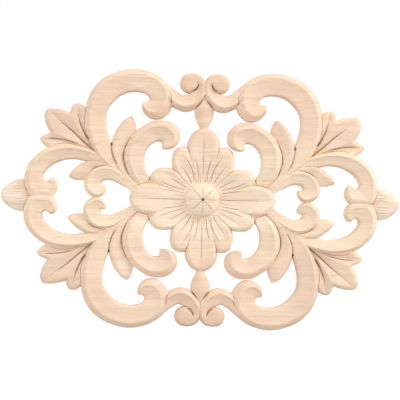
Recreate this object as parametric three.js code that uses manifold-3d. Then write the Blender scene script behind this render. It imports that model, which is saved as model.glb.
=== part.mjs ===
import * as THREE from "three";
import { mergeVertices } from "three/addons/utils/BufferGeometryUtils.js";
import Module from "manifold-3d";

// A carved wooden onlay: scrolls and leaves about a twelve-petalled flower. Millimetres, +Z up. The flat
// back lies in the plane y = 0 and the carving stands out of it towards -Y. The pattern is one quarter,
// turned over to the other three. Its lines are drawn on a square grid, u to the right and v up from the
// middle of the flower, so one size sets the length and every outline keeps its own proportions.

// Overall sizes
const LENGTH = 300;
const EDGE_HEIGHT = 5.2;
const SCROLL_HEIGHT = 10;
const LEAF_HEIGHT = 8.8;
const SPRAY_HEIGHT = 8.2;
const SPRAY_VEIN_HEIGHT = 6.2;
const BUD_HEIGHT = 8.6;
const SIDE_BUD_HEIGHT = 8;
const EYE_HEIGHT = 9.4;
const PETAL_HEIGHT = 9.8;
const PETAL_SEAM_HEIGHT = 7.8;
const PETAL_MIDDLE_HEIGHT = 9;
const PETAL_ROOT_HEIGHT = 6.4;
const BOSS_HEIGHT = 12;
const BOSS_DIAMETER = 25.6;
const BOSS_WALL_HEIGHT = 6;

// The pattern grid
const HALF_LENGTH_SQUARES = 199.4;
const SQUARE = LENGTH / 2 / HALF_LENGTH_SQUARES;

// How far a part of the pattern runs over a middle line, into its own mirror image
const OVERLAP = 0.6;

// Points this close are one point, in millimetres; spokes this close are one spoke, in radians
const SAME_POINT = 1e-4;
const SAME_TURN = 1e-4;

// How many facets the rounded parts are cut into
const BOSS_SIDES = 20;
const BOSS_RINGS = 3;
const EYE_SIDES = 16;
const EYE_RINGS = 2;
const LOBE_STEPS = 6;
const MAIN_PETAL_STEPS = 6;
const CORNER_PETAL_STEPS = 5;

// Sections, outer edge to inner edge: share of the width, share of the rise above the edge height
const SCROLL_SECTION = [[0, 0.33], [0.12, 0.72], [0.28, 1], [0.88, 0.62], [1, 0.3]];
const TOP_SCROLL_SECTION = [[0, 0.05], [0.14, 0.6], [0.32, 1], [0.88, 0.42], [1, 0.2]];
const LEAF_SECTION = [[0, 0.3], [0.12, 0.79], [0.28, 1], [0.75, 0.65], [1, 0.22]];
const BUD_SECTION = [[0, 0], [0.14, 0.6], [0.5, 1], [0.86, 0.6], [1, 0]];

// Scrolls and leaves, from the root to the tip: outer edge u, v, then inner edge u, v.
// The ends list gives the share of the full rise at numbered stations.
const BIG_SCROLL = {
  height: SCROLL_HEIGHT,
  section: SCROLL_SECTION,
  steps: 22,
  ends: [[0, 0.5], [3, 0.75], [5, 1], [20, 1], [22, 0.5]],
  stations: [
    [70, 11, 66, 10], [80, 19, 73, 19], [90, 28.5, 80.5, 27], [99, 36, 87.3, 35], [107, 44, 91, 45],
    [113.3, 54, 91.8, 53], [117.8, 66, 95.7, 65], [119.2, 80, 97.7, 78], [118, 92.3, 96.3, 88],
    [113, 105.8, 91.6, 95.2], [102, 118.3, 85.3, 101.3], [86.3, 126, 77.7, 105.2], [69, 128.8, 69, 106.6],
    [52, 125.2, 62.2, 105.6], [40, 118, 58.6, 104.4], [33.3, 110, 56.6, 102.5], [31.4, 98, 55.4, 100.3],
    [34.7, 87.3, 55.8, 98.3], [43, 80.3, 56.4, 97.2], [53.3, 80.3, 57.4, 96.5], [60.4, 85.8, 58.7, 96.3],
    [62.6, 92, 60, 96.2], [61.7, 95.8, 61.2, 96.1],
  ],
};
const TOP_SCROLL = {
  height: SCROLL_HEIGHT,
  section: TOP_SCROLL_SECTION,
  steps: 13,
  ends: [[0, 0.5], [2, 1], [7, 1], [10, 0.92], [13, 0.86]],
  stations: [
    [44, 106, 46, 122], [38, 101, 40, 117.9], [33, 93.5, 34, 112.8], [28, 90.5, 28, 108],
    [21, 88.2, 22, 104.8], [14.5, 88.7, 17.5, 105.7], [8.7, 91.6, 13.5, 107.6], [4.5, 96.5, 10, 109.5],
    [1, 102, 7.8, 111.9], [-OVERLAP, 109, 6.8, 114.5], [-OVERLAP, 116, 8.6, 116.9],
    [1.1, 120.7, 10.5, 118.5], [5.8, 124.9, 13, 119.5], [13, 126.6, 16, 119.5],
  ],
};
const INNER_SCROLL = {
  height: SCROLL_HEIGHT,
  section: SCROLL_SECTION,
  steps: 18,
  ends: [[0, 0.4], [4, 1], [16, 1], [18, 0.5]],
  stations: [
    [62, 8, 49, 12], [67, 13.5, 51, 18], [73, 21, 54.9, 24], [77.5, 30, 57.6, 30],
    [79.7, 40, 58.9, 37.5], [78.5, 50.5, 57.9, 45], [74.2, 59.7, 55.3, 50.6], [68, 67.3, 51.4, 54.9],
    [60.5, 72.4, 47.8, 57], [53, 76.9, 45, 57.5], [45, 78.4, 43.3, 57.4], [37, 77.9, 42.3, 57],
    [30, 74.5, 41.7, 56.3], [25.1, 68.7, 41.3, 55.4], [23.7, 61.5, 41.2, 54.4], [25.7, 55.5, 41.2, 53.4],
    [30.5, 51.3, 41.2, 52.4], [36, 49.7, 41.3, 51.4], [40, 49.9, 41.2, 50.6],
  ],
};
const SIDE_SCROLL = {
  height: SCROLL_HEIGHT,
  section: SCROLL_SECTION,
  steps: 20,
  ends: [[0, 0.4], [3, 1], [18, 1], [20, 0.5]],
  stations: [
    [88, 28, 90, 25], [96, 38, 98, 30], [102, 43, 105, 34], [108.5, 46, 111, 35],
    [117, 48.7, 118, 35.8], [127, 50.8, 127.5, 37.3], [138, 51, 136, 36.8], [149, 49.3, 144, 33.9],
    [158, 46, 150, 29.9], [165.7, 40.3, 154.3, 25], [172.1, 33.4, 157.1, 20.3],
    [176, 25, 157.8, 17.4], [177.1, 15, 157.3, 15.8], [175, 6, 156.4, 15],
    [169, -OVERLAP, 155.4, 14.8], [159, -OVERLAP, 154.4, 15], [151, -OVERLAP, 153.5, 15.4],
    [146, 3.8, 152.7, 16], [144.2, 9, 152, 16.8], [145, 14.2, 151, 17.7], [147.8, 17.8, 150.2, 18.3],
  ],
};
const SMALL_SCROLL = {
  height: SCROLL_HEIGHT,
  section: SCROLL_SECTION,
  steps: 14,
  ends: [[0, 0.6], [3, 1], [12, 1], [14, 0.5]],
  stations: [
    [62, 9, 69, 5], [74, 18.5, 76, 10.3], [82.5, 25, 82.5, 13.3], [91, 30, 88, 16.1],
    [100, 31, 93, 17.5], [107.5, 29.2, 97.2, 17.2], [113.5, 24.5, 99.9, 15.9], [117.4, 18, 101.3, 14.2],
    [118.3, 11.5, 101.4, 12.9], [115.7, 5.1, 100.7, 12.2], [110, OVERLAP, 99.9, 11.8],
    [105, -OVERLAP, 99, 11.7], [100.2, 1.5, 98.1, 11.7], [97, 5.4, 97.3, 11.7],
    [95.8, 9, 96.6, 11.4],
  ],
};
const MIDDLE_LEAF = {
  height: LEAF_HEIGHT,
  section: LEAF_SECTION,
  steps: 9,
  ends: [[0, 0.8], [2, 1], [8, 1], [9, 0.4]],
  stations: [
    [70, 13, 63, 11], [77, 20, 71, 19.5], [84, 28.5, 76, 29], [89.5, 38, 78.2, 39.5],
    [92.4, 47, 77.2, 49.5], [92, 54.5, 73, 58], [90, 61.8, 68.3, 63.5], [86.2, 69.8, 67.6, 68],
    [80.4, 77.2, 69, 75.5], [73.5, 81.6, 72, 81.2],
  ],
};
const SIDE_LEAF = {
  height: LEAF_HEIGHT,
  section: LEAF_SECTION,
  steps: 6,
  ends: [[0, 0.6], [2, 1], [5, 1], [6, 0.4]],
  stations: [
    [97, 33, 97, 30], [105, 35.7, 104, 29.5], [113, 36.3, 110.5, 26], [120, 33.7, 115.5, 17.5],
    [125.8, 29.7, 121, 16.6], [131, 24.7, 127, 16.8], [133.6, 20.3, 132.8, 19],
  ],
};

// Buds that stand astride a middle line, drawn whole
const TOP_BUD = {
  height: BUD_HEIGHT,
  section: BUD_SECTION,
  steps: 6,
  ends: [[0, 0.6], [2, 1], [4, 1], [6, 0.6]],
  stations: [
    [2, 104, -2, 104], [5.5, 96, -5.5, 96], [9.3, 90.5, -9.3, 90.5], [9, 84, -9, 84],
    [7.3, 79, -7.3, 79], [4.6, 73.6, -4.6, 73.6], [3, 69, -3, 69],
  ],
};
const SIDE_BUD = {
  height: SIDE_BUD_HEIGHT,
  section: BUD_SECTION,
  steps: 7,
  ends: [[0, 0.6], [2, 1], [5, 0.9], [7, 0.3]],
  stations: [
    [168, -9, 168, 9], [174.5, -15.4, 174.5, 15.4], [181, -15.7, 181, 15.7], [187, -14.2, 187, 14.2],
    [192.3, -11, 192.3, 11], [196.4, -7.3, 196.4, 7.3], [198.9, -3.7, 198.9, 3.7],
    [199.4, -0.8, 199.4, 0.8],
  ],
};

// The spray of three lobes at each corner: one outline a lobe, notch to notch round its tip
const SPRAY_ROOT = [107.5, 44];
const SPRAY_LEAN = 0.45;
const SPRAY_LOBES = [
  [[116, 85], [119.8, 90], [123.5, 92.2], [127.4, 92.8], [130.8, 91.1], [132.6, 87.8], [133.9, 83.5]],
  [
    [133.9, 83.5], [138, 84.9], [144, 86.3], [151, 86.9], [156.2, 86.2], [158.9, 82],
    [158.6, 75.5], [156.2, 68.8], [152.6, 63],
  ],
  [[152.6, 63], [156, 61.4], [160, 59.6], [162.8, 56], [161.2, 53], [157.7, 50], [151, 45.5]],
];

// Lines of the spray from its root to its outline: share of the way, share of the rise
const SPRAY_ROWS = [[0, 0], [0.35, 0.7], [0.65, 1], [0.9, 0.9], [1, 0]];

// Petals, notch to notch: two in the corner, and the ones at the side and the top, which stand astride
// a middle line
const UPPER_PETAL = [
  [30.3, 30.2], [31.3, 35.5], [31.3, 41], [29.2, 48.3], [24.5, 52.1], [20, 52.8], [16, 52.4],
];
const LOWER_PETAL = [
  [50.5, 15.4], [53, 21], [50, 26.8], [44.3, 30.5], [38, 31.1], [33.5, 30.8], [30.3, 30.2],
];
const SIDE_PETAL = [
  [50.5, -15.4], [60.5, -15], [67.5, -11.8], [71.4, -6], [73, 0], [71.4, 6], [67.5, 11.8],
  [60.5, 15], [50.5, 15.4],
];
const TOP_PETAL = [
  [16, 52.4], [15.8, 57], [13.8, 62.5], [9, 68.6], [0, 71.8], [-9, 68.6], [-13.8, 62.5],
  [-15.8, 57], [-16, 52.4],
];

// Rows of a petal from under the boss to its edge: share of the way out, share of the rise
const PETAL_ROWS = [[0, 0], [0.12, 0], [0.6, 0.65], [0.9, 1]];
const PETAL_START_RADIUS = 15;

// The round eye in the curl of each top scroll
const EYE = { u: 15.2, v: 116.5, radius: 9.8 };

// The four quarters of the pattern: the way each is turned over along u and v
const CORNERS = [[1, 1], [-1, 1], [1, -1], [-1, -1]];

const { PI, abs, atan2, cos, hypot, sin, sqrt } = Math;
const wasm = await Module();
wasm.setup();

const spline = (points) => new THREE.CatmullRomCurve3(points.map(([x, y]) => new THREE.Vector3(x, y, 0)));

function stepped(stops, at) {
  const next = stops.findIndex(([place]) => place >= at);
  if (next < 0) return stops[stops.length - 1][1];
  if (next === 0) return stops[0][1];
  const [a, low] = stops[next - 1];
  const [b, high] = stops[next];
  return low + ((high - low) * (at - a)) / (b - a);
}

// A closed solid under rows of [u, v, height]: carved face, flat back and walls. Each row stands on two
// points of the back, and a ring joins the last row to the first.
function slab(rows, ring = false) {
  const across = rows[0].length;
  const place = [];
  for (const row of rows) {
    for (const [u, v, height] of row) place.push(u * SQUARE, -height, v * SQUARE);
    for (const [u, v] of [row[0], row[across - 1]]) place.push(u * SQUARE, 0, v * SQUARE);
  }
  const at = (i, j) => (i % rows.length) * (across + 2) + j;
  const index = [];
  const quad = (a, b, c, d) => index.push(a, b, c, a, c, d);
  const last = ring ? rows.length : rows.length - 1;
  const [left, right] = [across, across + 1];
  for (let i = 0; i < last; i += 1) {
    for (let j = 0; j < across - 1; j += 1) quad(at(i, j), at(i + 1, j), at(i + 1, j + 1), at(i, j + 1));
    quad(at(i, left), at(i, right), at(i + 1, right), at(i + 1, left));
    quad(at(i + 1, 0), at(i, 0), at(i, left), at(i + 1, left));
    quad(at(i, across - 1), at(i + 1, across - 1), at(i + 1, right), at(i, right));
  }
  if (!ring) {
    for (let j = 0; j < across - 1; j += 1) {
      index.push(at(0, j), at(0, j + 1), at(0, left));
      index.push(at(last, j + 1), at(last, j), at(last, left));
    }
    index.push(at(0, across - 1), at(0, right), at(0, left));
    index.push(at(last, right), at(last, across - 1), at(last, left));
  }
  return closed(place, index);
}

// Merges the points that coincide, drops the faces that shrink to nothing and turns the rest outwards
function closed(place, index) {
  let geometry = new THREE.BufferGeometry();
  geometry.setAttribute("position", new THREE.Float32BufferAttribute(place, 3));
  geometry.setIndex(index);
  geometry = mergeVertices(geometry, SAME_POINT);
  const kept = [];
  const raw = geometry.index.array;
  for (let k = 0; k < raw.length; k += 3) {
    const [a, b, c] = [raw[k], raw[k + 1], raw[k + 2]];
    if (a !== b && b !== c && c !== a) kept.push(a, b, c);
  }
  const points = geometry.attributes.position;
  let volume = 0;
  const corner = (k) => new THREE.Vector3().fromBufferAttribute(points, kept[k]);
  for (let k = 0; k < kept.length; k += 3) {
    volume += corner(k).dot(corner(k + 1).cross(corner(k + 2)));
  }
  if (volume < 0) kept.reverse();
  geometry.setIndex(kept);
  return geometry;
}

// A scroll, leaf or bud: its section is laid across from the outer edge to the inner one, step by step
function rib({ height, section, steps, ends, stations }) {
  const outer = spline(stations.map(([u, v]) => [u, v]));
  const inner = spline(stations.map(([, , u, v]) => [u, v]));
  const rows = [];
  for (let i = 0; i <= steps; i += 1) {
    const along = i / steps;
    const [a, b] = [outer.getPoint(along), inner.getPoint(along)];
    const rise = (height - EDGE_HEIGHT) * stepped(ends, along * (stations.length - 1));
    rows.push(section.map(([share, lift]) => {
      const point = a.clone().lerp(b, share);
      return [point.x, point.y, EDGE_HEIGHT + rise * lift];
    }));
  }
  return slab(rows);
}

// Lines run from the root of the spray to its outline and lean in towards the middle lobe; each lobe is
// hollowed to its vein and rises to the seams beside it
function spray() {
  const [rootU, rootV] = SPRAY_ROOT;
  const centre = spline(SPRAY_LOBES[1]).getPoint(0.5);
  const middle = atan2(centre.y - rootV, centre.x - rootU);
  const rows = [];
  SPRAY_LOBES.forEach((outline, lobe) => {
    const edge = spline(outline);
    for (let i = lobe ? 1 : 0; i <= LOBE_STEPS; i += 1) {
      const side = (2 * i) / LOBE_STEPS - 1;
      const tip = edge.getPoint(i / LOBE_STEPS);
      const [du, dv] = [tip.x - rootU, tip.y - rootV];
      const turn = SPRAY_LEAN * (middle - atan2(dv, du));
      const bend = [(du * cos(turn) - dv * sin(turn)) / 2, (du * sin(turn) + dv * cos(turn)) / 2];
      const top = SPRAY_VEIN_HEIGHT + (SPRAY_HEIGHT - SPRAY_VEIN_HEIGHT) * sqrt(abs(side));
      rows.push(SPRAY_ROWS.map(([share, lift]) => {
        const bent = 2 * share * (1 - share);
        const u = rootU + bent * bend[0] + share * share * du;
        const v = rootV + bent * bend[1] + share * share * dv;
        return [u, v, EDGE_HEIGHT + (top - EDGE_HEIGHT) * lift];
      }));
    }
  });
  return slab(rows);
}

function dome({ u, v, radius }, sides, rings, wall, top) {
  const rows = [];
  for (let i = 0; i < sides; i += 1) {
    const turn = (2 * PI * i) / sides;
    const row = [];
    for (let j = 0; j <= rings; j += 1) {
      const share = cos((PI / 2) * (j / rings));
      const height = wall + (top - wall) * sin((PI / 2) * (j / rings));
      row.push([u + radius * share * cos(turn), v + radius * share * sin(turn), height]);
    }
    rows.push(row);
  }
  return discClosed(rows);
}

// A dome's rows meet at its top, so its flat back is a fan about the middle
function discClosed(rows) {
  const place = [];
  const rings = rows[0].length;
  for (const row of rows) {
    for (const [u, v, height] of row) place.push(u * SQUARE, -height, v * SQUARE);
    place.push(row[0][0] * SQUARE, 0, row[0][1] * SQUARE);
  }
  const [u, v] = rows[0][rings - 1];
  place.push(u * SQUARE, 0, v * SQUARE);
  const centre = rows.length * (rings + 1);
  const at = (i, j) => (i % rows.length) * (rings + 1) + j;
  const index = [];
  for (let i = 0; i < rows.length; i += 1) {
    for (let j = 0; j < rings - 1; j += 1) {
      index.push(at(i, j), at(i + 1, j), at(i + 1, j + 1), at(i, j), at(i + 1, j + 1), at(i, j + 1));
    }
    index.push(at(i + 1, 0), at(i, 0), at(i, rings), at(i + 1, 0), at(i, rings), at(i + 1, rings));
    index.push(centre, at(i + 1, rings), at(i, rings));
  }
  return closed(place, index);
}

// All round the flower, petal by petal; each is hollowed along its middle and sinks towards the seams
// between it and its neighbours and towards the boss
function flower() {
  const spokes = [];
  const addPetal = (outline, x, y, steps) => {
    const edge = spline(outline.map(([u, v]) => [u * x, v * y]));
    for (let i = 0; i <= steps; i += 1) {
      const tip = edge.getPoint(i / steps);
      const side = abs((2 * i) / steps - 1);
      spokes.push({ turn: atan2(tip.y, tip.x), reach: hypot(tip.x, tip.y), side });
    }
  };
  for (const way of [1, -1]) {
    addPetal(SIDE_PETAL, way, 1, MAIN_PETAL_STEPS);
    addPetal(TOP_PETAL, 1, way, MAIN_PETAL_STEPS);
  }
  for (const [x, y] of CORNERS) {
    addPetal(LOWER_PETAL, x, y, CORNER_PETAL_STEPS);
    addPetal(UPPER_PETAL, x, y, CORNER_PETAL_STEPS);
  }
  spokes.sort((a, b) => a.turn - b.turn);
  const kept = spokes.filter((spoke, i) => i === 0 || spoke.turn - spokes[i - 1].turn > SAME_TURN);
  const rows = kept.map(({ turn, reach, side }) => {
    const middle = (PETAL_HEIGHT - PETAL_MIDDLE_HEIGHT) * (1 - side) ** 2;
    const top = PETAL_HEIGHT - middle - (PETAL_HEIGHT - PETAL_SEAM_HEIGHT) * side ** 3;
    const row = PETAL_ROWS.map(([share, lift]) => {
      const radius = PETAL_START_RADIUS + (reach - PETAL_START_RADIUS) * share;
      const height = PETAL_ROOT_HEIGHT + (top - PETAL_ROOT_HEIGHT) * lift;
      return [radius * cos(turn), radius * sin(turn), height];
    });
    row.push([reach * cos(turn), reach * sin(turn), EDGE_HEIGHT]);
    return row;
  });
  return slab(rows, true);
}

function mirrored(geometry, x, z) {
  const copy = geometry.clone().applyMatrix4(new THREE.Matrix4().makeScale(x, 1, z));
  if (x * z < 0) copy.index.array.reverse();
  return copy;
}

function toManifold(geometry) {
  return new wasm.Manifold(new wasm.Mesh({
    numProp: 3,
    vertProperties: new Float32Array(geometry.attributes.position.array),
    triVerts: new Uint32Array(geometry.index.array),
  }));
}

function toGeometry(solid) {
  const mesh = solid.getMesh();
  const geometry = new THREE.BufferGeometry();
  geometry.setAttribute("position", new THREE.Float32BufferAttribute(mesh.vertProperties, 3));
  geometry.setIndex(new THREE.Uint32BufferAttribute(mesh.triVerts, 1));
  return geometry;
}

const quarterPieces = [
  BIG_SCROLL, TOP_SCROLL, INNER_SCROLL, SIDE_SCROLL, SMALL_SCROLL, MIDDLE_LEAF, SIDE_LEAF,
].map(rib);
quarterPieces.push(spray());
quarterPieces.push(dome(EYE, EYE_SIDES, EYE_RINGS, EDGE_HEIGHT, EYE_HEIGHT));
const [topBud, sideBud] = [rib(TOP_BUD), rib(SIDE_BUD)];
const pieces = [
  flower(),
  topBud,
  mirrored(topBud, 1, -1),
  sideBud,
  mirrored(sideBud, -1, 1),
];
for (const [x, z] of CORNERS) pieces.push(...quarterPieces.map((piece) => mirrored(piece, x, z)));

let body = toManifold(pieces[0]);
for (const piece of pieces.slice(1)) body = body.add(toManifold(piece));

// The boss goes on last, over the joined pieces read back as one mesh, so the flat back comes out plain
const bossPlace = { u: 0, v: 0, radius: BOSS_DIAMETER / 2 / SQUARE };
const boss = dome(bossPlace, BOSS_SIDES, BOSS_RINGS, BOSS_WALL_HEIGHT, BOSS_HEIGHT);
body = toManifold(toGeometry(body)).add(toManifold(boss));
const geometry = toGeometry(body);

const group = new THREE.Group();
const onlay = new THREE.Mesh(geometry, new THREE.MeshStandardMaterial({ color: 0xe8cfae, roughness: 0.7 }));
onlay.name = "carved_onlay";
group.add(onlay);

export default group;
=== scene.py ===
import math

import bmesh
import bpy
from bpy.props import FloatProperty, FloatVectorProperty, PointerProperty
from bpy.types import Operator, Panel, PropertyGroup
from mathutils import Matrix, Vector
from mathutils.bvhtree import BVHTree
from mathutils.kdtree import KDTree


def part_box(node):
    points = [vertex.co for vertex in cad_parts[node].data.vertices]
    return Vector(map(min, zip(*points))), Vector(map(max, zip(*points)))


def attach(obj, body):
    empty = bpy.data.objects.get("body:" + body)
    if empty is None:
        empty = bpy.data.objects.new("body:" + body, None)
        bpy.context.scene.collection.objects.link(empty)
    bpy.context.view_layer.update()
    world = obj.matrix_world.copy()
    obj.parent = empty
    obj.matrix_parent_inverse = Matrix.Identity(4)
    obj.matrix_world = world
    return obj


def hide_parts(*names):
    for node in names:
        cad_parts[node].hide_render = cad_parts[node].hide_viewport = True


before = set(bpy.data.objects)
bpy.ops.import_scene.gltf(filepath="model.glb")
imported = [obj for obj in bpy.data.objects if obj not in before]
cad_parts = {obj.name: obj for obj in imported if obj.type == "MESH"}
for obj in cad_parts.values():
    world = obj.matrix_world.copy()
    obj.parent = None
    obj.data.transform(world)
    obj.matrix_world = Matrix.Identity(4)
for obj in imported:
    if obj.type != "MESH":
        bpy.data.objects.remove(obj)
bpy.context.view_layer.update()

bl_info = {
    "name": "Carved wood onlay",
    "version": (1, 0, 0),
    "blender": (4, 5, 0),
    "location": "3D View > Sidebar > Onlay",
    "description": "Carves a pierced wood onlay of scrolls and leaves about a flower",
    "category": "Object",
}

ONLAY_LOW, ONLAY_HIGH = (Vector(corner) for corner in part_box("carved_onlay"))

# The pattern grid: u to the right and v up from the middle of the flower, in squares
HALF_LENGTH_SQUARES = 199.4
OVERLAP = 0.6

# Small distances in metres. Points this near each other are merged in a part, beside the planes
# that the quarter is mirrored in, and across them. Points nearer to such a plane than the snap are
# put on it.
MERGE = 1e-6
PLANE_MERGE = 2e-6
SNAP = 3e-6
MIRROR_MERGE = 4e-6

# A ray that looks for the carved surface starts this high, and painted shade darkens the wood this near
# the bottom line of a cut
RAY_HEIGHT = 0.05
CUT_SHADE_REACH = 0.00016

# Sections, outer edge to inner edge: share of the width, share of the rise above the edge height
SCROLL_SECTION = (
    (0, 0.3), (0.02, 0.4), (0.05, 0.5), (0.09, 0.62), (0.13, 0.735), (0.17, 0.84), (0.2, 0.91),
    (0.23, 0.965), (0.255, 0.992), (0.28, 1), (0.305, 0.985), (0.34, 0.945), (0.39, 0.9),
    (0.46, 0.86), (0.56, 0.815), (0.68, 0.77), (0.8, 0.725), (0.88, 0.69), (0.93, 0.64),
    (0.965, 0.55), (0.987, 0.42), (1, 0.2),
)
LEAF_SECTION = (
    (0, 0.3), (0.03, 0.45), (0.07, 0.62), (0.12, 0.79), (0.17, 0.91), (0.23, 0.98), (0.28, 1),
    (0.34, 0.985), (0.43, 0.94), (0.53, 0.87), (0.63, 0.78), (0.73, 0.67), (0.82, 0.55),
    (0.9, 0.42), (0.96, 0.32), (1, 0.22),
)
BUD_SECTION = (
    (0, 0), (0.04, 0.3), (0.1, 0.55), (0.18, 0.76), (0.28, 0.9), (0.4, 0.98), (0.5, 1),
    (0.6, 0.98), (0.72, 0.9), (0.82, 0.76), (0.9, 0.55), (0.96, 0.3), (1, 0),
)

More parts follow.
